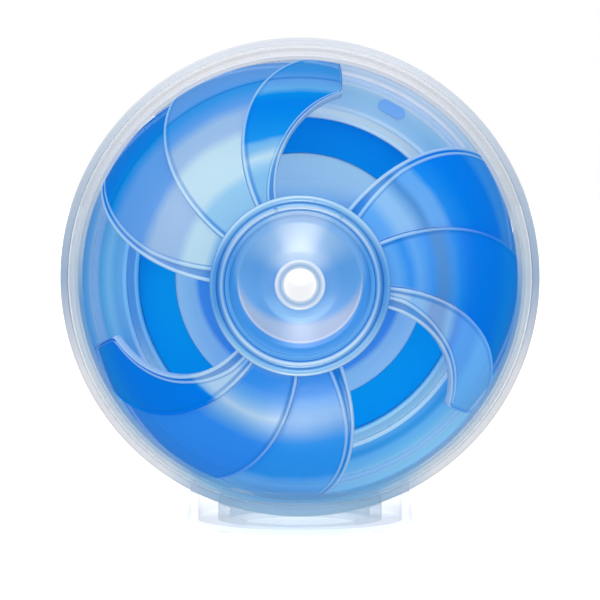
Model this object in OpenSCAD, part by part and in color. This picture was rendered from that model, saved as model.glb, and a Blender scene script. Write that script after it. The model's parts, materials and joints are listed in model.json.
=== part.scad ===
// Maze ball puzzle: a clear ball on a ring stand. Inside it a steel marble runs in channels on
// both faces of a deck, under two vaned wheels that share one hollow axle. Millimetres, +Z up,
// origin on the floor under the stand's centre. The ball's front face looks along -Y.

/* [Ball] */
// Outside diameter of the band round the equator
band_d = 140; // [136:1:150]
// Width of the band along the ball's axis
band_w = 6; // [5.5:0.5:8]
// How far the band stands proud of the shell
band_proud = 2.2; // [2:0.1:2.6]
// Wall of the clear shell
shell_wall = 1.8; // [1.5:0.1:2]

/* [Wheel] */
// Wall of a vane
vane_wall = 1.3; // [1.1:0.1:1.5]
// Sideways shift of a vane's sphere, which lifts its leading edge over its neighbour
vane_lift = 4; // [3:0.5:4.5]
// Diameter of the dial at the hub
dial_d = 49.8; // [48:0.2:51]
// Diameter of the bore through the axle
bore_d = 9; // [8:0.2:9.6]
// Wall of the axle
axle_wall = 1.8; // [1.4:0.1:2]
// Radial running gap of the axle in its bushes
running_gap = 0.05; // [0.02:0.01:0.1]

/* [Maze] */
// Diameter of the steel marble
marble_d = 8; // [7:0.5:8]
// Thickness of the deck
deck_t = 2; // [1.6:0.2:2.4]
// Inner radius of the blue track
track_r_in = 36.5; // [34:0.5:38]
// Inner radius of the rail between the channels
rail_r_in = 46.9; // [45:0.5:48]
// Width of the rail over its two walls
rail_w = 4.6; // [4.2:0.1:5]

/* [Stand] */
// Diameter of the stand at the floor
stand_d = 66.4; // [62:0.2:70]
// Height of the band's lowest point above the floor
stand_lift = 3; // [2.6:0.1:4]

/* [Hidden] */
$fn = 96;
e = 0.01;
fit = 0.05;                          // gap between fixed pieces
sectors = 3;                         // the wheel and the maze repeat this often round the axis
sector = 360 / sectors;
band_r = band_d / 2;
shell_r = band_r - band_proud;
shell_ri = shell_r - shell_wall;
foot_r = shell_r + band_proud / 2;   // flange on each shell that the band grips
foot_t = band_w / 3;

dome_r = shell_ri - 1.7;             // outer radius of the sphere that the vanes lie on
dome_ri = dome_r - vane_wall;
root_colat = 22.2;                   // polar angles at which the swirl starts and ends
rim_colat = 80.7;
rim_z = dome_r * cos(rim_colat);     // the wheel's open end
carrier_t = 1.3;                     // wall of the hub carrier and of the wheel rim
carrier_r = dome_ri - 0.6;
wheel_rim_r = dome_ri - vane_lift * 0.42;
wheel_rim_w = 3.8;

// The four edges of a sector's three vanes, clockwise: angle at the root, sweep, its power
edge_root = [32, 61.3, 91, 104.7];
edge_sweep = [26, 27, 32, 53];
edge_power = [1.1, 1.15, 1.35, 1.5];
edge_steps = 12;
root_t = -0.03;                      // where a vane starts, as a share of the swirl
tip_t = 0.63;                        // where the last vane's free edge turns outward
tip_angle = 129;                     // where that edge meets the wheel rim
vane_gap = 0.35;                     // degrees between neighbouring vanes

dial_r = dial_d / 2;
dial_ri = dial_r - 4.1;
opening_r = dial_r + 0.7;            // hole in the shell's pole
dial_z = dome_r * cos(root_colat) + 1.85;
dial_t = 1.9;
bead_r = 1;
key_angles = [-17.5, 31];            // two notches across the inner bead
key_w = 0.9;
key_depth = 0.8;
dish_r = dial_ri - 0.2;
dish_wall = 1.4;
dish_z = dial_z + 1.5;
lip_r = 19.2;                        // inner face of the dish's lip
step_r = 17.2;                       // the step between the lip and the funnel
step_z = dish_z - 3;
bore_r = bore_d / 2;
axle_r = bore_r + axle_wall;
axle_end = 55;
sleeve_r = axle_r + 1.7;
sleeve_l = 8;
bowl_z = axle_end - 0.3;
nozzle_r = bore_r + 2.6;
nozzle_t = 1.8;

deck_z = deck_t / 2;
wall_z = rim_z - 1;                  // height of the channel walls above the middle
race_r = shell_ri - 1.6;             // inner face of the outer channel's wall
deck_r = race_r - 0.1;
track_r_out = rail_r_in - 0.1;
track_t = 1.6;
floor_t = 0.8;
rail_r_out = rail_r_in + rail_w;
rail_wall = 1.1;
gate_angle = 75;                     // gates are under the vanes, where they don't show
gate_r = marble_d / 2 + 0.7;
stop_angle = -6;
stop_t = 1.6;
mark_angle = 28.5;
mark_l = 8.2;
mark_w = 3.5;
mark_t = 0.5;
bush_r = axle_r + 1.7;
bush_l = 5;
bush_flange_r = bush_r + 2.6;
bush_flange_t = 1.2;
collar_t = 2.7;
marble_r = marble_d / 2;
marble_orbit = race_r - marble_r - 0.15;
marble_z = deck_z + marble_r + 0.25;

ball_z = stand_lift + band_r;        // the ball's centre above the floor
seat_r = shell_r + 0.15;
stand_r = stand_d / 2;
stand_taper = 1.4;
stand_wall = 3.3;
stand_h = 15;
foot_h = 0.8;
web_t = 1.4;
web_ri = 17;
pad_r = 24;
pad_wall = 3.5;
slot_gap = 0.3;
dot_r = 1.5;

// ---- places -------------------------------------------------------------------------------

// The ball's own frame: its axis is Z, and its front is +Z.
module in_ball() translate([0, 0, ball_z]) rotate([90, 0, 0]) children();

// The rear half is the front half turned round the upright axis.
module side(rear) in_ball() rotate([0, rear ? 180 : 0, 0]) children();

// A point at radius r and an angle clockwise from the top, as seen from the front
function at(r, angle) = [r * sin(angle), r * cos(angle)];

function colat(t) = root_colat + (rim_colat - root_colat) * t;
function edge_angle(i, t) = edge_root[i] + edge_sweep[i] * pow(max(t, 0), edge_power[i]);

// Points along edge i, from t0 to t1 of the swirl, turned by shift degrees
function edge_points(i, t0, t1, shift) =
    [for (k = [0:edge_steps]) let (t = t0 + (t1 - t0) * k / edge_steps)
        at(dome_r * sin(colat(t)), edge_angle(i, t) + shift)];

function arc_points(r, a0, a1, n) = [for (k = [0:n]) at(r, a0 + (a1 - a0) * k / n)];

// ---- shapes -------------------------------------------------------------------------------

module ring(r_in, r_out, z0, z1)
    rotate_extrude() translate([r_in, z0]) square([r_out - r_in, z1 - z0]);

// Everything between two heights, out to the band's radius
module slab(z0, z1) translate([0, 0, z0]) cylinder(r = band_r + 2, h = z1 - z0);

module hollow_sphere(r_out, r_in) difference() {
    sphere(r_out);
    sphere(r_in);
}

// A ring cut from a hollow sphere between two heights
module sphere_ring(r_out, r_in, z0, z1) intersection() {
    hollow_sphere(r_out, r_in);
    slab(z0, z1);
}

// ---- ball ---------------------------------------------------------------------------------

module shell_half() color([0.86, 0.93, 1, 0.35]) difference() {
    union() {
        sphere_ring(shell_r, shell_ri, 0, shell_r);
        ring(shell_ri + shell_wall / 2, foot_r, 0, foot_t);
    }
    cylinder(r = opening_r, h = band_r);
}

// One half of the equator band: a lip behind it grips the shell's foot.
module band_half() color([0.88, 0.9, 0.96, 0.6]) rotate_extrude() {
    half = band_w / 2;
    lip_r = shell_r + 0.2;
    groove_r = foot_r + fit;
    groove_z = foot_t + fit;
    chamfer = 0.6;
    polygon([[groove_r, 0], [band_r, 0], [band_r, half - chamfer], [band_r - chamfer, half],
             [lip_r, half], [lip_r, groove_z], [groove_r, groove_z]]);
}

module race_ring() color([0.8, 0.88, 0.97, 0.5]) difference() {
    intersection() {
        sphere(shell_ri - fit, $fn = 240);
        slab(-wall_z, wall_z);
    }
    cylinder(r = race_r, h = band_d, center = true, $fn = 240);
}

// ---- maze ---------------------------------------------------------------------------------

module deck() color([0.55, 0.78, 0.96]) difference() {
    ring(bush_r + fit, deck_r, -deck_z, deck_z);
    for (k = [0:sectors - 1])
        translate(at(marble_orbit, gate_angle + k * sector))
            cylinder(r = gate_r, h = deck_t * 2, center = true);
}

module track() color([0, 0.5, 0.93])
    ring(track_r_in, track_r_out, deck_z, deck_z + track_t);

module inner_floor() color([0.6, 0.82, 0.97])
    ring(bush_flange_r + 0.3, track_r_in - 0.1, deck_z, deck_z + floor_t);

// The rail is a wall on each side of a low sill, with a gap for the marble in each sector.
module rail() color([0.85, 0.93, 1, 0.7]) difference() {
    union() {
        ring(rail_r_in, rail_r_out, deck_z, deck_z + floor_t);
        ring(rail_r_in, rail_r_in + rail_wall, deck_z, wall_z);
        ring(rail_r_out - rail_wall, rail_r_out, deck_z, wall_z);
    }
    for (k = [0:sectors - 1])
        rotate([0, 0, -gate_angle - k * sector])
            translate([-gate_r - 0.5, 0, deck_z + floor_t])
                cube([2 * gate_r + 1, rail_r_out + 5, wall_z]);
}

// A fin that closes the outer channel
module stop() color([0.85, 0.93, 1, 0.7]) rotate([0, 0, -stop_angle])
    translate([-stop_t / 2, rail_r_out + 0.1, deck_z])
        cube([stop_t, race_r - rail_r_out - 0.8, wall_z - deck_z]);

module start_mark() color([0.3, 0.55, 0.92])
    translate(concat(at(56, mark_angle), deck_z)) rotate([0, 0, -mark_angle])
        linear_extrude(mark_t) {
            square([mark_l - mark_w, mark_w], center = true);
            for (s = [-1, 1]) translate([s * (mark_l - mark_w) / 2, 0]) circle(d = mark_w);
        }

module bush() color([0.9, 0.94, 0.98, 0.8]) rotate_extrude() {
    bush_ri = axle_r + running_gap;
    polygon([[bush_ri, 0], [bush_r, 0], [bush_r, deck_z], [bush_flange_r, deck_z],
             [bush_flange_r, deck_z + bush_flange_t], [bush_r, deck_z + bush_flange_t],
             [bush_r, bush_l], [bush_ri, bush_l]]);
}

module marble() color([0.75, 0.76, 0.78])
    translate(concat(at(marble_orbit, 180), -marble_z)) sphere(marble_r);

// ---- wheel --------------------------------------------------------------------------------

module axle() color([0.86, 0.93, 1, 0.5]) ring(bore_r, axle_r, -axle_end, axle_end);

module collar() color([0.86, 0.93, 1, 0.6])
    ring(axle_r, bush_r + 1.2, bush_l + 0.3, bush_l + 0.3 + collar_t);

// Domed ring under the vane roots, with a boss that the dial sits on
module carrier() color([0.86, 0.93, 1, 0.5]) {
    seat_z = sqrt(carrier_r * carrier_r - dial_ri * dial_ri);
    difference() {
        union() {
            sphere_ring(carrier_r, carrier_r - carrier_t, carrier_r * cos(28), carrier_r);
            ring(dial_ri, dial_ri + 1.4, seat_z - carrier_t, dial_z - fit);
        }
        cylinder(r = dial_ri, h = band_r);
    }
}

// Hub ring with two beads, for a fingertip
module dial() color([0.88, 0.94, 1, 0.6]) difference() {
    rotate_extrude() {
        translate([dial_ri, dial_z]) square([dial_r - dial_ri, dial_t]);
        for (r = [dial_ri + bead_r, dial_r - bead_r])
            translate([r, dial_z + dial_t]) circle(bead_r);
    }
    for (a = key_angles)
        rotate([0, 0, -a])
            translate([-key_w / 2, dial_ri - 1, dial_z + dial_t + bead_r - key_depth])
                cube([key_w, 2 * bead_r + 1, key_depth + 1]);
}

// The funnel's face, from the axle (0) to the step (1)
function funnel(s) = [sleeve_r + (step_r - sleeve_r) * s, bowl_z + (step_z - bowl_z) * pow(s, 1.3)];

// Finger dish: a steep lip, a step and a funnel, on a sleeve that grips the axle
module dish() color([0.75, 0.87, 0.99, 0.6]) {
    steps = 8;
    rotate_extrude() polygon(concat(
        [[axle_r, bowl_z - dish_wall], [axle_r, bowl_z]],
        [for (k = [0:steps]) funnel(k / steps)],
        [[step_r + 0.3, step_z + 0.1], [lip_r - 0.4, step_z + 0.3], [lip_r, step_z + 0.8]],
        [[lip_r + 0.3, dish_z - 0.3], [lip_r + 0.6, dish_z], [dish_r, dish_z]],
        [[dish_r, step_z], [dish_r - 0.8, step_z - dish_wall]],
        [for (k = [steps:-1:0]) funnel(k / steps) + [0.2 + k / steps, -dish_wall]]));
    ring(axle_r, sleeve_r, axle_end - sleeve_l, bowl_z - dish_wall / 2);
}

module nozzle() color([0.92, 0.96, 1, 0.7]) rotate_extrude() {
    r = nozzle_t / 2;
    translate([bore_r, axle_end]) square([nozzle_r - bore_r - r, nozzle_t]);
    translate([nozzle_r - r, axle_end + r]) circle(r);
}

module wheel_rim() color([0.86, 0.93, 1, 0.5])
    sphere_ring(wheel_rim_r, wheel_rim_r - carrier_t, rim_z, rim_z + wheel_rim_w);

// A sphere moved sideways, across the direction of angle, with its seam on the far side
module lifted_sphere(r, angle) {
    aside = at(vane_lift, angle - 90);
    translate([aside[0], aside[1], 0]) rotate([0, 0, -90 - angle]) sphere(r);
}

module upright(points) linear_extrude(band_r) polygon(points);

// Vane v (0 to 2) of a sector: a gore of a lifted sphere, with a foot at its root and its rim
module vane(v) {
    last = v == 2;
    a_lead = edge_angle(v, 1);
    a_rim = last ? tip_angle : edge_angle(v + 1, 1) - vane_gap;
    middle = (a_lead + a_rim) / 2;
    shift = last ? 0 : -vane_gap;
    end_t = last ? tip_t : 1;
    trail = edge_points(v + 1, end_t, root_t, shift);
    root_r = dome_r * sin(colat(root_t));
    root = arc_points(root_r, edge_root[v + 1] + shift, edge_root[v], 5);
    outline = concat(edge_points(v, root_t, 1, 0), arc_points(shell_ri, a_lead, a_rim, 6), trail, root);
    intersection() {
        upright(outline);
        slab(rim_z, band_r);
        difference() {
            lifted_sphere(dome_r, middle);
            lifted_sphere(dome_ri, middle);
        }
    }
    vane_feet(v, middle, a_lead, a_rim);
}

// Pads that stand on the carrier and on the wheel rim
module vane_feet(v, middle, a_lead, a_rim) {
    a0 = edge_root[v] + 3;
    a1 = edge_root[v + 1] - 3;
    root_r = dial_ri + 2;
    intersection() {
        upright(concat(arc_points(root_r, a0, a1, 3), arc_points(root_r + 4, a1, a0, 3)));
        slab(dome_r / 2, band_r);
        difference() {
            lifted_sphere(dome_r - vane_wall / 2, middle);
            sphere(carrier_r);
        }
    }
    intersection() {
        upright(concat([at(band_r * 0.6, middle)], arc_points(band_r, a_lead + 1, a_rim - 1, 4)));
        slab(rim_z, rim_z + wheel_rim_w);
        difference() {
            lifted_sphere(dome_r - vane_wall / 2, middle);
            sphere(wheel_rim_r);
        }
    }
}

// Vane n of 9, clockwise round the wheel
module wheel_vane(n) color([0.3, 0.6, 0.96, 0.6])
    rotate([0, 0, -sector * floor((n - 1) / sectors)]) vane((n - 1) % sectors);

// ---- stand --------------------------------------------------------------------------------

// The space that the ball and its band take in the stand
module ball_seat() translate([0, 0, ball_z]) {
    sphere(seat_r);
    rotate([90, 0, 0])
        cylinder(r = band_r + slot_gap, h = band_w + 2 * slot_gap, center = true);
}

module stand_ring() color([0.9, 0.93, 0.97, 0.6]) difference() {
    translate([0, 0, foot_h])
        cylinder(r1 = stand_r, r2 = stand_r - stand_taper, h = stand_h - foot_h);
    difference() {
        translate([0, 0, -e]) cylinder(r = stand_r - stand_wall, h = stand_h + 1);
        ring(web_ri, stand_r, foot_h, foot_h + web_t);
    }
    ball_seat();
}

module stand_pad() color([0.3, 0.65, 0.95, 0.8]) difference() {
    ring(pad_r - pad_wall, pad_r, foot_h + web_t, stand_h);
    ball_seat();
}

module stand_feet() color([0.92, 0.94, 0.97])
    for (k = [0:3]) translate(at(stand_r - stand_wall / 2 - 0.1, 45 + 90 * k))
        cylinder(r = dot_r, h = foot_h);

// ---- nodes --------------------------------------------------------------------------------

side(false) shell_half();  // front_shell
side(true) shell_half();  // rear_shell
side(false) band_half();  // front_band
side(true) band_half();  // rear_band
in_ball() race_ring();
in_ball() deck();
side(false) track();  // front_track
side(true) track();  // rear_track
side(false) inner_floor();  // front_floor
side(true) inner_floor();  // rear_floor
side(false) rail();  // front_rail
side(true) rail();  // rear_rail
side(false) stop();  // front_stop
side(true) stop();  // rear_stop
side(false) start_mark();
side(false) bush();  // front_bush
side(true) bush();  // rear_bush
in_ball() axle();
side(false) collar();  // front_collar
side(true) collar();  // rear_collar
side(false) carrier();  // front_carrier
side(true) carrier();  // rear_carrier
side(false) dial();  // front_dial
side(true) dial();  // rear_dial
side(false) dish();  // front_dish
side(true) dish();  // rear_dish
side(false) nozzle();  // front_nozzle
side(true) nozzle();  // rear_nozzle
side(false) wheel_rim();  // front_wheel_rim
side(true) wheel_rim();  // rear_wheel_rim
for (n = [1:9]) {
    side(false) wheel_vane(n);
    side(true) wheel_vane(n);
}
in_ball() marble();
stand_ring();
stand_pad();
stand_feet();
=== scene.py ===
"""The looks of the maze ball puzzle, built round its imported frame. Lengths are metres.

What is built here uses the ball's own coordinates: x to the right and y up as the face is seen, and z out of
the face, from the ball's centre. The rear half is the front half turned round the upright axis."""

import json
import math

import bmesh
import bpy
from mathutils import Matrix, Vector


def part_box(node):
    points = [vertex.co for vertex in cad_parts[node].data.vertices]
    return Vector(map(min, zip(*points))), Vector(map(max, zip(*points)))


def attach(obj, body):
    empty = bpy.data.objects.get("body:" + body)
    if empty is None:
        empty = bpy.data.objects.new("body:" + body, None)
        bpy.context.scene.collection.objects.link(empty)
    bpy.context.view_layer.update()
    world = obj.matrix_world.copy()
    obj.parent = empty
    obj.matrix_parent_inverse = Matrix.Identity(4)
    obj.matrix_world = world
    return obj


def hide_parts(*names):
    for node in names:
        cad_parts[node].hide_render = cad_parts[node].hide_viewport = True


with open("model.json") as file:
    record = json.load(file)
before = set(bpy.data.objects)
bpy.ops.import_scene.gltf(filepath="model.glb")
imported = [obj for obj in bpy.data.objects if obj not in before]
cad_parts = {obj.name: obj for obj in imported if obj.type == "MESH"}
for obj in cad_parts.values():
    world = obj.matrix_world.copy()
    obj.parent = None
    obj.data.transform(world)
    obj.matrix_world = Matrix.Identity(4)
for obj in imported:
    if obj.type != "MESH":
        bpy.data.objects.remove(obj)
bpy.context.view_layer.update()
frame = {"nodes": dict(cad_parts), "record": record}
nodes = frame["nodes"]
MM = 0.001

# ---- measures taken from the frame ----------------------------------------------------------

band_low, band_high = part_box("front_band")
BALL_Z = (band_low.z + band_high.z) / 2
BAND_R = (band_high.z - band_low.z) / 2
# How far inside the shells the race ring and the vanes' dome are
RING_FIT, DOME_GAP = 0.05 * MM, 1.7 * MM
DOME_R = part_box("race_ring")[1].x + RING_FIT - DOME_GAP
RIM_Z = -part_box("front_wheel_rim")[1].y

# ---- the vanes' outline, as in the CAD ------------------------------------------------------

VANES_IN_SECTOR = 3
SECTORS = 3
SECTOR = 360 / SECTORS
# A vane's thickness, in mm
VANE_WALL = 1.3
# Sideways shift of each vane's dome, which lifts its leading edge over its neighbour
VANE_LIFT = 4 * MM
# Degrees from the ball's pole to a vane's root and to the wheel rim. A place t along a vane is 0 at the root
# and 1 at the rim.
ROOT_COLAT, RIM_COLAT = 22.2, 80.7
# The edges' angles at the root, how far round they sweep by the rim, and how late they do it
EDGE_ROOT = (32, 61.3, 91, 104.7)
EDGE_SWEEP = (26, 27, 32, 53)
EDGE_POWER = (1.1, 1.15, 1.35, 1.5)
# Where the vanes begin, where the last vane's free edge ends, and that vane's angle at the rim
ROOT_T, TIP_T = -0.03, 0.63
TIP_ANGLE = 129
# Degrees between a vane and the next one
VANE_GAP = 0.35


def at(radius, angle):
    """A point at an angle clockwise from the top, as the face is seen."""
    a = math.radians(angle)
    return Vector((radius * math.sin(a), radius * math.cos(a), 0))


def dome_radius(t):
    """How far from the axle the dome is, at a share of the way along a vane."""
    return DOME_R * math.sin(math.radians(ROOT_COLAT + (RIM_COLAT - ROOT_COLAT) * t))


def edge_angle(i, t):
    """The angle of a sector's i-th edge."""
    return EDGE_ROOT[i] + EDGE_SWEEP[i] * max(t, 0) ** EDGE_POWER[i]


def to_frame(p, rear):
    """A point in the ball's own coordinates, in the row frame."""
    if rear:
        p = Vector((-p.x, p.y, -p.z))
    return Vector((p.x, -p.z, p.y + BALL_Z))


# ---- node trees -----------------------------------------------------------------------------


class Tree:
    """Short calls for building the node tree of a material or of the world."""

    def __init__(self, owner, output):
        owner.use_nodes = True
        self.owner = owner
        self.tree = owner.node_tree
        self.tree.nodes.clear()
        self.out = self.node(output).inputs[0]
        self.coordinates = None

    def node(self, kind, **values):
        made = self.tree.nodes.new(kind)
        for key, value in values.items():
            setattr(made, key, value)
        return made

    def put(self, socket, value):
        """A link if value is a socket, or the socket's own number, vector or colour."""
        if isinstance(value, bpy.types.NodeSocket):
            self.tree.links.new(value, socket)
        elif isinstance(value, (tuple, list)) and socket.type == "RGBA":
            socket.default_value = (*value[:3], 1)
        else:
            socket.default_value = value

    def fed(self, kind, *values, **settings):
        """A node whose first inputs get the values, in order."""
        made = self.node(kind, **settings)
        for socket, value in zip(made.inputs, values):
            self.put(socket, value)
        return made

    def math(self, operation, a, b=0.0, clamp=False):
        return self.fed("ShaderNodeMath", a, b, operation=operation, use_clamp=clamp).outputs[0]

    def plus(self, a, b):
        return self.math("ADD", a, b)

    def minus(self, a, b):
        return self.math("SUBTRACT", a, b)

    def times(self, a, b):
        return self.math("MULTIPLY", a, b)

    def spread(self, value, low, high, at_low, at_high):
        """A smooth step between two values."""
        values = (value, low, high, at_low, at_high)
        return self.fed("ShaderNodeMapRange", *values, interpolation_type="SMOOTHSTEP").outputs[0]

    def ramp(self, value, stops):
        made = self.fed("ShaderNodeValToRGB", value)
        elements = made.color_ramp.elements
        while len(elements) < len(stops):
            elements.new(0.5)
        for element, (place, colour) in zip(elements, stops):
            element.position = place
            element.color = (*colour, 1)
        return made.outputs[0]

    def mix(self, share, a, b):
        made = self.node("ShaderNodeMix", data_type="RGBA")
        for i, value in ((0, share), (6, a), (7, b)):
            self.put(made.inputs[i], value)
        return made.outputs[2]

    def mix_shaders(self, share, a, b):
        return self.fed("ShaderNodeMixShader", share, a, b).outputs[0]

    def spot(self):
        """A point's x, y and z in its piece's own coordinates, which are the frame's at rest."""
        if self.coordinates is None:
            place = self.node("ShaderNodeTexCoord").outputs["Object"]
            self.coordinates = self.fed("ShaderNodeSeparateXYZ", place).outputs
        return self.coordinates

    def across(self):
        """How far a point is to the right of the middle, in metres."""
        return self.spot()[0]

    def height(self):
        """How far above the floor a point is, in metres."""
        return self.spot()[2]

    def radius(self):
        """How far out from the ball's axle a point is, as a share of the band's radius."""
        rise = self.minus(self.height(), BALL_Z)
        squares = self.plus(self.times(self.across(), self.across()), self.times(rise, rise))
        return self.math("DIVIDE", self.math("SQRT", squares), BAND_R)

    def turn(self):
        """1 straight above the axle, 0 level with it and -1 straight below it."""
        rise = self.math("DIVIDE", self.minus(self.height(), BALL_Z), BAND_R)
        return self.math("DIVIDE", rise, self.radius())

    def rings(self, stops):
        """Colours by distance from the axle."""
        return self.ramp(self.radius(), stops)

    def noise(self, scale, detail=2.0, roughness=0.5):
        made = self.node("ShaderNodeTexNoise")
        self.put(made.inputs["Vector"], self.node("ShaderNodeTexCoord").outputs["Object"])
        made.inputs["Scale"].default_value = scale
        made.inputs["Detail"].default_value = detail
        made.inputs["Roughness"].default_value = roughness
        return made.outputs[0]

    def bump(self, height, strength, distance=0.0002):
        made = self.node("ShaderNodeBump")
        self.put(made.inputs["Height"], height)
        made.inputs["Strength"].default_value = strength
        made.inputs["Distance"].default_value = distance
        return made.outputs[0]

    def facing(self):
        """0 face on and 1 at a slant."""
        return self.fed("ShaderNodeLayerWeight", 0.5).outputs["Facing"]

    def wanted(self, value):
        """A value, or what it makes of this tree when it is a function."""
        return value(self) if callable(value) else value


def linear(r, g, b):
    """A colour given in screen values of 0 to 255."""
    return tuple((c / 255 / 12.92) if c <= 10 else ((c / 255 + 0.055) / 1.055) ** 2.4 for c in (r, g, b))


def of_band(mm):
    """A length in mm as a share of the band's radius."""
    return mm * MM / BAND_R


def at_mm(stops, blue=1.0):
    """Ramp stops given in mm from the axle and screen colours."""
    return [(of_band(mm), linear(c[0], c[1], c[2] * blue)) for mm, c in stops]


def grey(stops, shift=0.0):
    """Ramp stops given as places and single values."""
    return [(place + shift, (value, value, value)) for place, value in stops]


# ---- kinds of material. A colour, body or spec may be a function of the tree. ----------------

# How much the roughness of opaque and of clear pieces varies
GRAIN, CLEAR_GRAIN = 0.08, 0.03


def solid(name, colour, rough=0.2, spec=0.5, **more):
    """An opaque plastic or metal."""
    t = Tree(bpy.data.materials.new(name), "ShaderNodeOutputMaterial")
    p = t.node("ShaderNodeBsdfPrincipled")
    t.put(p.inputs["Base Color"], t.wanted(colour))
    t.put(p.inputs["Roughness"], t.plus(rough - GRAIN / 2, t.times(t.noise(60, 3), GRAIN)))
    t.put(p.inputs["Normal"], t.bump(t.noise(400, 2), 0.05))
    p.inputs["Specular IOR Level"].default_value = spec
    for key, value in more.items():
        p.inputs[key.replace("_", " ")].default_value = value
    t.put(t.out, p.outputs[0])
    return t.owner


def clear(name, colour, body, edge, tint=(1, 1, 1), rough=0.08, power=2.5, spec=0.5, shade=0.12, wave=0.03):
    """A see-through plastic. Body is how solid it looks face on, and edge is what it gains at a slant, by a
    power or between two slants. Shadow rays pass it by all but shade, as light does in a clear moulding."""
    t = Tree(bpy.data.materials.new(name), "ShaderNodeOutputMaterial")
    p = t.node("ShaderNodeBsdfPrincipled")
    t.put(p.inputs["Base Color"], t.wanted(colour))
    t.put(p.inputs["Roughness"], t.plus(rough, t.times(t.noise(40, 2), CLEAR_GRAIN)))
    t.put(p.inputs["Specular IOR Level"], t.wanted(spec))
    if wave:
        t.put(p.inputs["Normal"], t.bump(t.noise(120, 1), wave, 0.0004))
    if isinstance(power, tuple):
        slant = t.spread(t.facing(), *power, 0, 1)
    else:
        slant = t.math("POWER", t.facing(), power)
    held = t.math("ADD", t.wanted(body), t.times(slant, edge), clamp=True)
    window = t.fed("ShaderNodeBsdfTransparent", tint).outputs[0]
    light = t.fed("ShaderNodeBsdfTransparent", (1 - shade, 1 - shade * 0.8, 1 - shade * 0.5)).outputs[0]
    shadow = t.node("ShaderNodeLightPath").outputs["Is Shadow Ray"]
    t.put(t.out, t.mix_shaders(shadow, t.mix_shaders(held, window, p.outputs[0]), light))
    return t.owner


# ---- the vanes' colours ---------------------------------------------------------------------

DARK, BLUE, MID, SKY = (0, 122, 232), (0, 134, 232), (48, 142, 232), (92, 164, 234)
PALE, MILK, DUSK, LILAC = (134, 186, 234), (172, 206, 236), (66, 136, 206), (142, 178, 230)
MAUVE, VIOLET, AZURE, AQUA = (122, 162, 216), (88, 150, 233), (42, 152, 244), (92, 166, 246)
SOFT, FROST, COBALT = (116, 174, 230), (106, 184, 255), (46, 141, 242)

# By mm from the axle, for the right, lower and left sectors, each with its first, middle and last vane.
# Beside the vanes' own pale-to-blue colour they hold painted highlights and reflections: the milky and lilac
# bands of the left sector and the pale and milky band of the lower one, which is why the sectors differ.
VANE_STOPS = [
    [[(24, SKY), (28, SKY), (31.5, PALE), (34.5, PALE), (38.5, DUSK), (40.5, SKY), (43.6, SKY),
      (45.4, BLUE), (52, DARK), (57.8, DARK), (59.5, MID)],
     [(24, SKY), (27, SKY), (30, MID), (33, SKY), (37, MID), (39, DUSK), (41, DUSK), (43.4, MID),
      (45.4, BLUE), (47.5, DARK), (56, DARK), (59.5, BLUE)],
     [(24, PALE), (26, MILK), (28.4, MILK), (31, PALE), (34, PALE), (37, MAUVE), (40.5, MAUVE), (42.6, PALE),
      (44.8, VIOLET), (47, AQUA), (51, AQUA), (54, FROST), (60, FROST)]],
    [[(24, SKY), (25.3, MID), (30.2, MID), (33, SKY), (36, SOFT), (38.5, SOFT), (42, SKY), (45, AZURE),
      (55, AZURE), (58, FROST)],
     [(24, SKY), (27, MID), (30.4, MID), (33.6, SKY), (36.2, PALE), (38.2, MILK), (40.2, PALE), (43, SKY),
      (46, COBALT), (60, COBALT)],
     [(24, PALE), (27, PALE), (29.5, MILK), (37.2, MILK), (39.2, PALE), (40, BLUE), (41, DARK), (56, DARK),
      (59, BLUE)]],
    [[(24, SKY), (27.2, MILK), (32.5, MILK), (35, LILAC), (43, LILAC), (46, VIOLET), (54, VIOLET),
      (57.5, BLUE), (59.5, DARK)],
     [(24, PALE), (32, PALE), (34.5, MILK), (43.4, MILK), (46, LILAC), (50, LILAC), (53, VIOLET), (56.6, MID),
      (57.7, MID), (59, VIOLET)],
     [(24, SOFT), (32, SOFT), (34.5, PALE), (36.8, MILK), (39, SOFT), (41, SKY), (42, BLUE), (51.5, DARK),
      (53.6, BLUE), (55, SKY), (57.5, VIOLET), (60, MID)]],
]
# The deep blue paints the seam ring and the painted shade beside each lip; the pale one is the painted
# highlight on each lip
DEEP, LIP_HIGHLIGHT = linear(0, 112, 200), linear(178, 214, 240)
# How strongly the painted shade beside each lip and the painted highlight on each lip are laid on
MARKED = 0.75
# How far the colours wander in and out, as a share of the band's radius
WANDER = 0.06
# A thin deep ring near the rim, and how much of it each sector shows
SEAM = [(of_band(57.4), 0), (of_band(57.8), 1), (of_band(58.2), 0)]
SEAM_SHARE = (0.1, 0.2, 0.9)
# How blue each sector is against the colours above. The left sector's blue is painted down against the
# stronger light that falls on it.
BLUENESS = (1, 1, 0.945)
# Reflections by share of the band's radius, and how far each sector moves them. The last vanes' are even.
GLOSS = [(0.42, 0.04), (0.54, 0.2), (0.58, 0.3), (0.64, 0.3), (0.76, 0.04)]
GLOSS_SHIFT = (-0.03, -0.035, 0)
LAST_GLOSS = 0.06


def vane_colour(stops, seam_share):
    """Colours by distance from the axle, a painted highlight on each edge's rounded lip and painted shade
    beside it.
    """
    def colour(t):
        wander = t.times(t.minus(t.noise(30, 4, 0.6), 0.5), WANDER)
        body = t.ramp(t.plus(t.radius(), wander), stops)
        painted = t.mix(t.times(t.rings(grey(SEAM)), seam_share), body, DEEP)
        # Painted shade beside each lip, then the painted highlight on it
        for layer, paint in (("line", DEEP), ("lip", LIP_HIGHLIGHT)):
            amount = t.node("ShaderNodeAttribute", attribute_name=layer).outputs["Fac"]
            painted = t.mix(t.times(amount, MARKED), painted, paint)
        return painted
    return colour


def fading_gloss(shift):
    """Reflections that weaken toward the rim, where the vanes stand edge on."""
    return lambda t: t.rings(grey(GLOSS, shift))


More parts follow.
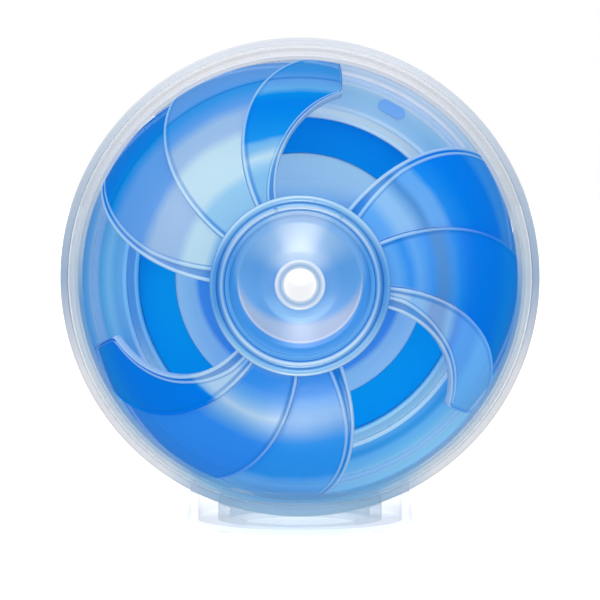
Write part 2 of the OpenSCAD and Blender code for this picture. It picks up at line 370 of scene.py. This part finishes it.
def vane_material(group, v):
    name = "vane_%s_%s" % (("right", "lower", "left")[group], ("first", "middle", "last")[v])
    gloss = LAST_GLOSS if v == VANES_IN_SECTOR - 1 else fading_gloss(GLOSS_SHIFT[group])
    colour = vane_colour(at_mm(VANE_STOPS[group][v], BLUENESS[group]), SEAM_SHARE[group])
    return clear(name, colour, 1, 0, shade=0.05, spec=gloss)


VANE_PAINT = [[vane_material(group, v) for v in range(VANES_IN_SECTOR)] for group in range(SECTORS)]

# ---- the hub's colours, by mm from the axle -------------------------------------------------

# The dial's ring has painted highlights on its two beads and painted shade between them, brighter above and
# below the axle, where it catches the light, than beside it.
DIAL_LIT_UPRIGHT = at_mm([
    (20.8, (70, 145, 218)), (21.2, (150, 196, 234)), (21.7, (205, 225, 240)), (22.1, (120, 180, 228)),
    (22.7, (105, 172, 226)), (23.5, (120, 182, 230)), (24.2, (155, 202, 236)), (24.6, (184, 216, 238)),
    (24.9, (90, 160, 222))])
DIAL_LEVEL = at_mm([
    (20.8, (55, 135, 214)), (21.2, (95, 160, 224)), (21.7, (160, 198, 232)), (22.1, (60, 140, 216)),
    (22.7, (68, 146, 218)), (23.9, (76, 150, 220)), (24.4, (110, 172, 228)), (24.9, (70, 145, 216))])
# Painted light on the dish: a painted highlight above the hole, plain blue beside it, and a painted
# reflection in a crescent below it
DISH_HIGHLIGHT_ABOVE = at_mm([
    (8, (190, 216, 240)), (12, (160, 200, 238)), (16.8, (150, 196, 236)), (17.3, (128, 182, 232)),
    (20.2, (138, 190, 236))])
DISH_BESIDE = at_mm([
    (8, (110, 170, 226)), (12, (92, 160, 224)), (16.8, (96, 164, 226)), (17.3, (110, 172, 228)),
    (20.2, (88, 158, 224))])
DISH_BELOW = at_mm([
    (9, (140, 178, 222)), (12, (164, 188, 216)), (16.6, (158, 180, 212)), (17.0, (204, 214, 230)),
    (17.3, (60, 146, 222)), (19.2, (62, 148, 222)), (20.2, (90, 164, 226))])
# A painted highlight wedge above the hole and a painted highlight halo below it
WEDGE_HIGHLIGHT, HALO_HIGHLIGHT = linear(235, 243, 250), linear(150, 200, 240)
NOZZLE = at_mm([
    (4.5, (215, 228, 240)), (5.4, (150, 182, 216)), (6, (190, 212, 234)), (6.6, (235, 242, 248)),
    (7.1, (225, 236, 246))])
# The pale crescent, a painted reflection, lies between two circles that sit above the axle, by these lengths
# in mm.
# The inner one has this radius, and the outer one is in DISH_BELOW.
CRESCENT_RISE, CRESCENT_END_RISE = 6.6, 1.2
CRESCENT_START = 16.4
# Where the painted highlight ring below the nozzle fades out
HALO_EDGE = (of_band(10.2), of_band(11))


def dial_colour(t):
    """The dial's ring, painted lighter above and below the axle, where it catches the light, than beside it.
    """
    off_level = t.spread(t.math("ABSOLUTE", t.turn()), 0.15, 0.8, 0, 1)
    return t.mix(off_level, t.rings(DIAL_LEVEL), t.rings(DIAL_LIT_UPRIGHT))


def dish_colour(t):
    """The dish: a painted highlight wedge above the hole, a painted reflection crescent and a painted
    highlight halo below it, and blue at its sides.
    """
    radius, upright = t.radius(), t.turn()
    above = t.mix(t.spread(upright, 0.35, 0.95, 0, 1), t.rings(DISH_BESIDE), t.rings(DISH_HIGHLIGHT_ABOVE))
    wedged = t.mix(t.spread(upright, 0.86, 0.98, 0, 0.3), above, WEDGE_HIGHLIGHT)
    start = t.plus(t.times(upright, of_band(CRESCENT_RISE)), of_band(CRESCENT_START))
    crescent = t.spread(t.minus(radius, start), -0.014, 0.03, 0, 1)
    below = t.ramp(t.minus(radius, t.times(upright, of_band(CRESCENT_END_RISE))), DISH_BELOW)
    dish = t.mix(crescent, wedged, below)
    near = t.spread(radius, *HALO_EDGE, 1, 0)
    return t.mix(t.times(near, t.spread(upright, -0.9, -0.1, 0.75, 0)), dish, HALO_HIGHLIGHT)


# ---- the maze's colours, by mm from the axle, and by turn or by height in metres -------------

# The bright ring near 60 mm in these stops is a painted highlight, brightest above the axle
OUTER_LOW = at_mm([
    (46, (150, 205, 245)), (52, (120, 200, 245)), (53.3, (90, 186, 242)), (54.2, (60, 170, 234)),
    (55, (76, 178, 236)), (56, (116, 200, 246)), (57, (122, 204, 245)), (58.5, (138, 212, 242)),
    (59.4, (160, 222, 246)), (60.3, (190, 240, 255)), (61, (178, 230, 250)), (61.8, (162, 222, 244)),
    (63.2, (162, 226, 250)), (64, (156, 214, 246))])
OUTER_LEVEL = at_mm([
    (46, (150, 205, 245)), (52, (126, 198, 238)), (54, (112, 190, 236)), (56, (136, 208, 240)),
    (57.4, (114, 195, 238)), (58.5, (100, 183, 231)), (59.6, (150, 206, 240)), (61.3, (152, 206, 238)),
    (62, (122, 190, 236)), (63, (100, 183, 236)), (64.2, (84, 178, 232))])
OUTER_HIGH = at_mm([
    (46, (205, 236, 250)), (51.5, (176, 214, 240)), (55.5, (166, 212, 238)), (57.6, (176, 216, 240)),
    (58.4, (214, 234, 242)), (59.1, (250, 255, 255)), (61.2, (255, 255, 255)), (61.7, (226, 240, 246)),
    (62.2, (208, 228, 240)), (62.6, (232, 246, 252)), (63.2, (226, 238, 248)), (64, (192, 212, 228))])
# Painted shade of the hub makes the lower stops deep blue near the axle
INNER_LOW = at_mm([
    (24, (20, 150, 245)), (29.5, (30, 156, 246)), (31, (150, 216, 252)), (36, (175, 230, 255))])
INNER_HIGH = at_mm([(24, (150, 216, 250)), (30, (185, 234, 255)), (36, (190, 240, 255))])
# Painted light: the rail is whitest in the stops above the axle
RAIL_LOW = at_mm([
    (46.9, (140, 215, 250)), (47.3, (168, 235, 255)), (47.9, (184, 240, 255)), (48.3, (180, 228, 250)),
    (50.1, (205, 240, 255)), (50.6, (216, 245, 255)), (51.5, (190, 240, 255))])
RAIL_LEVEL = at_mm([
    (46.9, (60, 170, 240)), (47.3, (100, 195, 250)), (47.9, (140, 215, 255)), (48.3, (120, 206, 255)),
    (50.1, (124, 204, 255)), (50.6, (140, 210, 252)), (51.5, (134, 208, 255))])
RAIL_HIGH = at_mm([
    (46.9, (190, 225, 245)), (47.3, (208, 240, 252)), (48, (216, 242, 255)), (48.6, (250, 255, 255)),
    (49.8, (250, 255, 255)), (50.4, (206, 236, 252)), (51.1, (198, 232, 250)), (51.5, (180, 220, 245))])
TRACK_LOW, TRACK_HIGH = linear(6, 173, 245), linear(6, 152, 240)


def outer_floor(t):
    """The outer channel's floor: whiter above, where the light comes from, and bluer level with the axle."""
    level = t.spread(t.math("ABSOLUTE", t.turn()), 0.3, 0.6, 1, 0)
    low = t.mix(level, t.rings(OUTER_LOW), t.rings(OUTER_LEVEL))
    return t.mix(t.spread(t.height(), 0.085, 0.125, 0, 1), low, t.rings(OUTER_HIGH))


def inner_floor(t):
    """The inner channel's floor, paler above than below as painted light, with the hub's painted shadow
    below.
    """
    return t.mix(t.spread(t.height(), 0.085, 0.1, 0, 1), t.rings(INNER_LOW), t.rings(INNER_HIGH))


def rail_colour(t):
    """The rail: painted light makes it whitest above the axle; it is pale below it and blue beside it."""
    low = t.mix(t.spread(t.turn(), -0.6, -0.2, 0, 1), t.rings(RAIL_LOW), t.rings(RAIL_LEVEL))
    return t.mix(t.spread(t.height(), 0.08, 0.115, 0, 1), low, t.rings(RAIL_HIGH))


def track_colour(t):
    """The blue track, a little greener below and beside the axle than above it."""
    return t.mix(t.spread(t.turn(), -0.1, 0.5, 0, 1), TRACK_LOW, TRACK_HIGH)


# ---- the rim's colours with painted light, from 0 straight below the axle to 1 straight above it ---

# Outside the half shells: a painted blue glow from the pad at the bottom, and paler toward the top, where the
# light falls
SHELL_OUTSIDE = [
    (0, (84, 200, 255)), (0.03, (110, 210, 255)), (0.09, (220, 243, 255)), (0.3, (224, 245, 255)),
    (0.5, (218, 240, 255)), (0.7, (242, 250, 255)), (0.95, (255, 255, 255))]
# Inside edge of the half shells: a painted reflection of the maze's blue in the lower part
SHELL_INSIDE = [
    (0, (84, 196, 255)), (0.1, (144, 200, 255)), (0.3, (144, 200, 255)), (0.45, (130, 196, 255)),
    (0.56, (224, 245, 255)), (0.95, (255, 255, 255))]
# The band: a painted blue glow from the pad at the bottom, and painted shade level with the axle
BAND = [
    (0, (160, 202, 228)), (0.03, (180, 210, 230)), (0.09, (238, 238, 238)), (0.3, (238, 236, 236)),
    (0.5, (172, 192, 212)), (0.7, (196, 208, 220)), (0.95, (228, 232, 236))]


def rim_colour(stops):
    """Clear plastic seen edge on, with painted light from the stops by how far round it is from below the
    axle.
    """
    placed = [(place, linear(*colour)) for place, colour in stops]
    return lambda t: t.ramp(t.times(t.plus(t.turn(), 1), 0.5), placed)


def shell_colour(t):
    """The half shells carry a painted reflection of the maze's blue in the lower part of their inner edge."""
    outward = t.spread(t.radius(), 0.9, 0.928, 0, 1)
    return t.mix(outward, t.wanted(rim_colour(SHELL_INSIDE)), t.wanted(rim_colour(SHELL_OUTSIDE)))


def stand_body(t):
    """The stand is frosted, but clear in its middle above the ball's lowest point, to show the band."""
    middle = t.spread(t.math("ABSOLUTE", t.across()), 0.028, 0.036, 1, 0)
    high = t.spread(t.height(), 0.003, 0.007, 0, 1)
    frost = t.spread(t.height(), 0, 0.006, 0.08, 0.22)
    return t.minus(frost, t.times(t.times(middle, high), 0.18))


# ---- every piece's finish: by the record's material slot, or its own ------------------------

CLEAR_BLUE, HUB_TINT, WHEEL_TINT = linear(186, 210, 235), linear(225, 238, 255), linear(235, 245, 255)
FINISH = {
    "clear_shell": clear("clear_shell", shell_colour, 0, 0.66, power=(0.72, 0.75), shade=0.02, wave=0.01),
    "band": clear("clear_band", rim_colour(BAND), 0.8, 0.2, linear(232, 237, 246), shade=0.1),
    "clear_maze": clear("clear_maze", linear(190, 204, 224), 0.75, 0.2, linear(230, 238, 248), shade=0.1),
    "deck": clear("pale_deck", outer_floor, 0.92, 0.1, shade=0.3),
    "pale_floor": clear("pale_floor", inner_floor, 0.95, 0.1, shade=0.4),
    "blue_track": solid("blue_track", track_colour, 0.3, 0.02),
    "mark": solid("blue_mark", linear(124, 184, 244), 0.3),
    "clear_wheel": clear("clear_wheel", CLEAR_BLUE, 0.12, 0.4, WHEEL_TINT, shade=0.05),
    "dial": clear("dial", dial_colour, 0.88, 0.1, HUB_TINT, shade=0.1),
    "dish": clear("dish", dish_colour, 0.95, 0.1, HUB_TINT, 0.14, spec=0.4, shade=0.1),
    "nozzle": clear("nozzle", lambda t: t.rings(NOZZLE), 0.9, 0.1, linear(240, 246, 255), shade=0.1),
    "steel": solid("steel", (0.7, 0.71, 0.73), 0.12, Metallic=1.0),
    "stand": clear("frosted_stand", linear(212, 213, 218), stand_body, 0.16, linear(252, 253, 254), 0.4, 3,
                   spec=0.1, shade=0.03),
    "pad": clear("soft_pad", linear(172, 206, 220), 0.24, 0.1, rough=0.4, spec=0.1, shade=0.05),
    "feet": clear("soft_feet", linear(250, 250, 252), 0.15, 0.1, rough=0.4, spec=0.1, shade=0.1),
}
RAIL_FINISH = clear("rail_clear", rail_colour, 0.9, 0.1, WHEEL_TINT, shade=0.1)
CARRIER_FINISH = clear("carrier_clear", CLEAR_BLUE, 0.03, 0.3, shade=0.03)
OWN_FINISH = {
    "axle": clear("axle_clear", linear(225, 232, 240), 0.9, 0.1, rough=0.02, shade=0.1, wave=0),
    "front_rail": RAIL_FINISH,
    "rear_rail": RAIL_FINISH,
    "race_ring": FINISH["band"],
    "front_carrier": CARRIER_FINISH,
    "rear_carrier": CARRIER_FINISH,
}
SLOT_OF = {s["node"]: s["material_slot"] for s in frame["record"]["subparts"]}


def smooth(mesh, angle=35):
    mesh.shade_smooth()
    mesh.set_sharp_from_angle(angle=math.radians(angle))


for name, obj in nodes.items():
    obj.data.materials.clear()
    slot = SLOT_OF[name]
    if slot in FINISH:
        obj.data.materials.append(OWN_FINISH.get(name, FINISH[slot]))
        obj.data.polygons.foreach_set("material_index", [0] * len(obj.data.polygons))
        smooth(obj.data)

# ---- vanes ----------------------------------------------------------------------------------

# Rows of points along a vane, and steps across its middle
ROWS = 56
ACROSS = 18

# Edge profiles in mm: how far in from the edge, how far over the dome's surface, and a mark, which is 1 for a
# painted highlight on the lip and -1 for painted shade beside it. A window lip has two bands of painted
# highlight, with a groove that starts GROOVE_START in.
PLAIN_LIP = [(0.5, -1.3, 0.6), (0.14, -1.16, 1), (0, -0.8, 1), (0, -0.1, 1), (0.12, 0.2, 1), (0.4, 0.34, 1),
             (0.7, 0.24, 1), (0.95, 0.06, -0.6), (1.2, 0, -1), (1.5, 0, -1), (2.1, 0, 0)]
WINDOW_LIP = [(2.2, -1.3, 0.2), (1.3, -1.34, 0.4), (1.0, -1.6, 0.8), (0.8, -1.8, 1), (0.3, -1.8, 1),
              (0.04, -1.5, 1), (0, -0.1, 1), (0.14, 0.2, 1), (0.5, 0.34, 1), (0.85, 0.22, 0.9), (1.1, 0, -1),
              (1.6, -0.1, -1), (1.9, 0.1, 0.7), (2.3, 0.18, 0.8), (2.6, 0.08, 0.2), (2.8, 0, -1), (3.3, 0, 0)]
SQUARE_END = [(0.6, 0, 0), (0.2, -0.06, 0.5), (0, -0.4, 0.8), (0, -0.95, 0.8), (0.22, -1.26, 0.5),
              (0.6, -1.3, 0)]
GROOVE_START = 1.3
# The groove opens out by this many mm at the hub, and is closed again at this share of the way out. The
# painted shade in it opens out with it, into a painted shadow wedge by the hub.
GROOVE_SPREAD, GROOVE_REACH = 1.5, 0.3
# Each vane keeps this much plain width in mm between its edges, which are squeezed to fit
LEAST_BODY = 0.4
# What hangs below a vane's wall fades in from the root to the first place, and out between the other two
HANG_IN, HANG_OUT, HANG_END = 0.08, 0.85, 0.97

# How much of each lip's painted highlight is left far from the hub, in each sector, and how far out that is
LIP_END = (0.1, 0.25, 0.7)
LIP_REACH = 0.55
# How much of the painted shade beside each lip is lost there
LINE_LOSS = 0.6
# The lower sector's last vane loses the painted highlight on its leading lip early
LOWER = 1
HIDDEN_END, HIDDEN_REACH = 0.0, 0.3

# How the free edge of each sector's last vane differs: degrees of bow, degrees at the tip, width of its lip
FREE_EDGE = [(-0.5, -1, 1), (-2, 2.5, 1), (2.2, 1.5, 0.6)]
# Past the free edge's end that lip narrows to this share of its width, over this much of the way out
TIP_LIP, TIP_LIP_REACH = 0.45, 0.06


def widened(profile, t, scale=1.0):
    """A window lip's profile, whose groove opens out toward the hub."""
    opening = GROOVE_SPREAD * max(0, 1 - max(t, 0) / GROOVE_REACH)
    shifts = [opening if s > GROOVE_START and n > -1 else 0 for s, n, mark in profile]
    return [((s + shift) * scale, n, mark) for shift, (s, n, mark) in zip(shifts, profile)]


def between(start, end):
    """The places between two edges, without the edges themselves."""
    return [start + (end - start) * k / ACROSS for k in range(1, ACROSS)]


class Vane:
    """The shape of one vane of a sector. A place t along it is 0 at the root and 1 at the wheel rim."""

    def __init__(self, group, v):
        self.group, self.v = group, v
        self.first, self.last = v == 0, v == VANES_IN_SECTOR - 1
        self.bow, self.tip_turn, self.lip_scale = FREE_EDGE[group]
        middle = (self.lead_angle(1) + self.trail_angle(1)) / 2
        self.lifted = at(VANE_LIFT, middle - 90)

    def lead_angle(self, t):
        return edge_angle(self.v, t)

    def trail_angle(self, t):
        """Just short of the next vane's leading edge, or the sector's free edge and then its tip."""
        next_edge = edge_angle(self.v + 1, min(t, TIP_T) if self.last else t)
        if not self.last:
            return next_edge - VANE_GAP
        along = max(min(t, TIP_T), 0) / TIP_T
        free = next_edge + self.bow * math.sin(math.pi * along) + self.tip_turn * along ** 2
        return free + (TIP_ANGLE + self.tip_turn - free) * max(0, t - TIP_T) / (1 - TIP_T)

    def steps(self):
        """Where the rows are. The last vane has one where its free edge ends."""
        steps = [ROOT_T + (1 - ROOT_T) * k / ROWS for k in range(ROWS + 1)]
        if self.last:
            nearest = min(range(len(steps)), key=lambda k: abs(steps[k] - TIP_T))
            steps[nearest] = TIP_T
        return steps

    def edges(self, t):
        """The profiles of the leading and the trailing edge."""
        lead = widened(WINDOW_LIP, t) if self.first else PLAIN_LIP
        if not self.last:
            return lead, SQUARE_END
        narrowing = min(1, max(TIP_LIP, 1 - (t - TIP_T) / TIP_LIP_REACH))
        return lead, widened(WINDOW_LIP, t, self.lip_scale * narrowing)[::-1]

    def section(self, t, width):
        """The points round the vane: mm from the leading edge, mm over the dome, the mark and the edge."""
        lead, trail = self.edges(t)
        lead_width, trail_width = lead[-1][0], trail[0][0]
        squeeze = min(1, width / (lead_width + trail_width + LEAST_BODY))
        points = [(s * squeeze, n, mark, "lead") for s, n, mark in lead]
        points += [(s, 0, 0, "") for s in between(lead_width * squeeze, width - trail_width * squeeze)]
        points += [(width - s * squeeze, n, mark, "trail") for s, n, mark in trail]
        points += [(s, -VANE_WALL, 0, "") for s in between(points[-1][0], points[0][0])]
        return points

    def reach(self, angle):
        """How far out the lifted dome meets the wheel rim's plane."""
        along = self.lifted.dot(at(1, angle))
        level_r = math.sqrt(DOME_R ** 2 - RIM_Z ** 2)
        return along + math.sqrt(level_r ** 2 - (self.lifted.length ** 2 - along ** 2))

    def point(self, t, s, over):
        """The point s mm from the leading edge and over metres over the dome, turned to its own sector."""
        angle = self.lead_angle(t) + math.degrees(s * MM / dome_radius(t))
        root_r = dome_radius(ROOT_T)
        grow = (self.reach(angle) - root_r) / (dome_radius(1) - root_r)
        base = at(root_r + (dome_radius(t) - root_r) * grow, angle)
        base.z = math.sqrt(max(DOME_R ** 2 - (base - self.lifted).length_squared, 0))
        base += (base - self.lifted).normalized() * over
        return Matrix.Rotation(math.radians(-SECTOR * self.group), 3, "Z") @ base

    def marks(self, t, mark, edge):
        """How much painted highlight on the lip and painted shade beside it there is at a point."""
        hidden = self.group == LOWER and self.last and edge == "lead"
        window = (self.first and edge == "lead") or (self.last and edge == "trail" and t <= TIP_T)
        along = min(1, max(0, t) / (HIDDEN_REACH if hidden else LIP_REACH))
        kept = HIDDEN_END if hidden else 1 if window else LIP_END[self.group]
        return max(mark, 0) * (1 + (kept - 1) * along), max(-mark, 0) * (1 - LINE_LOSS * along)


def vane_rows(vane, rear, bm):
    """The vane's rows of points, from the root to the wheel rim."""
    # Layers for each lip's painted highlight and the painted shade beside it
    lip_highlights = bm.verts.layers.float.new("lip")
    groove_shades = bm.verts.layers.float.new("line")
    rows = []
    for t in vane.steps():
        width = math.radians(vane.trail_angle(t) - vane.lead_angle(t)) * dome_radius(t) / MM
        hang = min(1, max(0, (HANG_END - t) / (HANG_END - HANG_OUT)), max(0, t / HANG_IN))
        row = []
        for s, n, mark, edge in vane.section(t, width):
            over = max(n, -VANE_WALL) + min(n + VANE_WALL, 0) * hang
            vert = bm.verts.new(to_frame(vane.point(t, s, over * MM), rear))
            vert[lip_highlights], vert[groove_shades] = vane.marks(t, mark, edge)
            row.append(vert)
        rows.append(row)
    return rows


def vane_mesh(group, v, rear):
    """One vane as a closed mesh: rows of one rounded profile."""
    bm = bmesh.new()
    rows = vane_rows(Vane(group, v), rear, bm)
    for low, high in zip(rows, rows[1:]):
        for k in range(len(low)):
            j = (k + 1) % len(low)
            bm.faces.new((low[k], low[j], high[j], high[k]))
    bm.faces.new(rows[0][::-1])
    bm.faces.new(rows[-1])
    bmesh.ops.triangulate(bm, faces=[f for f in bm.faces if len(f.verts) > 4])
    bmesh.ops.recalc_face_normals(bm, faces=bm.faces)
    name = ("rear" if rear else "front") + "_vane_%d" % (group * VANES_IN_SECTOR + v + 1)
    mesh = bpy.data.meshes.new(name + "_skin")
    bm.to_mesh(mesh)
    bm.free()
    mesh.materials.append(VANE_PAINT[group][v])
    smooth(mesh, 50)
    obj = bpy.data.objects.new(name + "_skin", mesh)
    bpy.context.scene.collection.objects.link(obj)
    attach(obj, "rotor")
    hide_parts(name)


for is_rear in (False, True):
    for group in range(SECTORS):
        for v in range(VANES_IN_SECTOR):
            vane_mesh(group, v, is_rear)

# ---- studio ---------------------------------------------------------------------------------


def facing_from(place, target):
    """The rotation that aims a lamp or a camera at a target."""
    return (Vector(target) - Vector(place)).to_track_quat("-Z", "Y").to_euler()


def softbox(name, place, size, power):
    """A lamp aimed at the ball, which mirrors don't show."""
    light = bpy.data.lights.new(name, "AREA")
    light.shape = "RECTANGLE"
    light.size, light.size_y = size
    light.energy = power
    obj = bpy.data.objects.new(name, light)
    obj.location = place
    obj.rotation_euler = facing_from(place, (0, 0, BALL_Z))
    obj.visible_glossy = False
    bpy.context.scene.collection.objects.link(obj)


softbox("front", (-0.05, -1.7, 0.35), (1.5, 1.3), 14)
softbox("top", (-0.2, -0.3, 1.1), (0.9, 0.7), 2.3)
softbox("back", (0.2, 1.2, 0.6), (1.0, 0.8), 3)

scene = bpy.context.scene
scene.world = bpy.data.worlds.new("studio")
scene.world.cycles.sampling_method = "NONE"
sky = Tree(scene.world, "ShaderNodeOutputWorld")

# The dim room that mirror reflections show, and its soft bright patches: the direction, sharpness, strength
# and colour of each
ROOM = (0.10, 0.11, 0.12)
GLOWS = [
    ((-0.60, -0.50, 0.62), 8, 4, (1, 0.80, 0.66)),
    ((0, -0.55, 0.83), 20, 8, (1, 0.9, 0.92)),
    ((0, -0.55, -0.83), 20, 12, (1, 0.94, 0.95)),
    ((-0.15, -0.22, -0.96), 60, 4, (1, 0.94, 0.95)),
    ((0.9, -0.3, 0.2), 12, 1.5, (0.9, 0.95, 1)),
    ((0, 1, 0), 40, 1, (1, 1, 1)),
]


def room():
    """The patches added to the dim room, as the background of mirror reflections."""
    way = sky.node("ShaderNodeTexCoord").outputs["Generated"]
    total = ROOM
    for direction, sharpness, strength, colour in GLOWS:
        toward = Vector(direction).normalized()
        along = sky.fed("ShaderNodeVectorMath", way, toward, operation="DOT_PRODUCT").outputs["Value"]
        glow = sky.fed("ShaderNodeVectorMath", [c * strength for c in colour], operation="SCALE")
        sky.put(glow.inputs["Scale"], sky.math("POWER", sky.math("MAXIMUM", along, 0), sharpness))
        total = sky.fed("ShaderNodeVectorMath", glow.outputs[0], total, operation="ADD").outputs[0]
    return sky.fed("ShaderNodeBackground", total, 1).outputs[0]


# White where the camera sees it, even for matt light, and the room for mirror reflections
path = sky.node("ShaderNodeLightPath").outputs
even = sky.fed("ShaderNodeBackground", (0.98, 0.98, 1), 0.76).outputs[0]
white = sky.fed("ShaderNodeBackground", (1, 1, 1), 1).outputs[0]
lit = sky.mix_shaders(path["Is Glossy Ray"], even, room())
sky.put(sky.out, sky.mix_shaders(path["Is Camera Ray"], lit, white))

FLOOR = 6.0
CORNERS = [(-FLOOR, -FLOOR, 0), (FLOOR, -FLOOR, 0), (FLOOR, FLOOR, 0), (-FLOOR, FLOOR, 0)]
floor_mesh = bpy.data.meshes.new("floor")
floor_mesh.from_pydata(CORNERS, [], [(0, 1, 2, 3)])
floor_mesh.materials.append(
    solid("floor_white", (0.92, 0.92, 0.92), 0.25, 0.4, Emission_Strength=0.75, Emission_Color=(1, 1, 1, 1)))
floor = bpy.data.objects.new("floor", floor_mesh)
scene.collection.objects.link(floor)
floor.visible_glossy = False
floor.visible_diffuse = False

ELEVATION = math.radians(2.1)
DISTANCE = 1.0
# The ball stands a little above the picture's middle
AIM_BELOW = 6.6 * MM
camera = bpy.data.cameras.new("camera")
camera.lens = 205
camera.sensor_width = 36
camera.clip_start, camera.clip_end = 0.05, 20
eye = bpy.data.objects.new("camera", camera)
eye.location = (0, -DISTANCE * math.cos(ELEVATION), BALL_Z + DISTANCE * math.sin(ELEVATION))
eye.rotation_euler = facing_from(eye.location, (0, 0, BALL_Z - AIM_BELOW))
scene.collection.objects.link(eye)
scene.camera = eye

scene.view_settings.view_transform = "Standard"
scene.cycles.transparent_max_bounces = 40
scene.cycles.max_bounces = 10
scene.cycles.caustics_reflective = False
scene.cycles.caustics_refractive = False
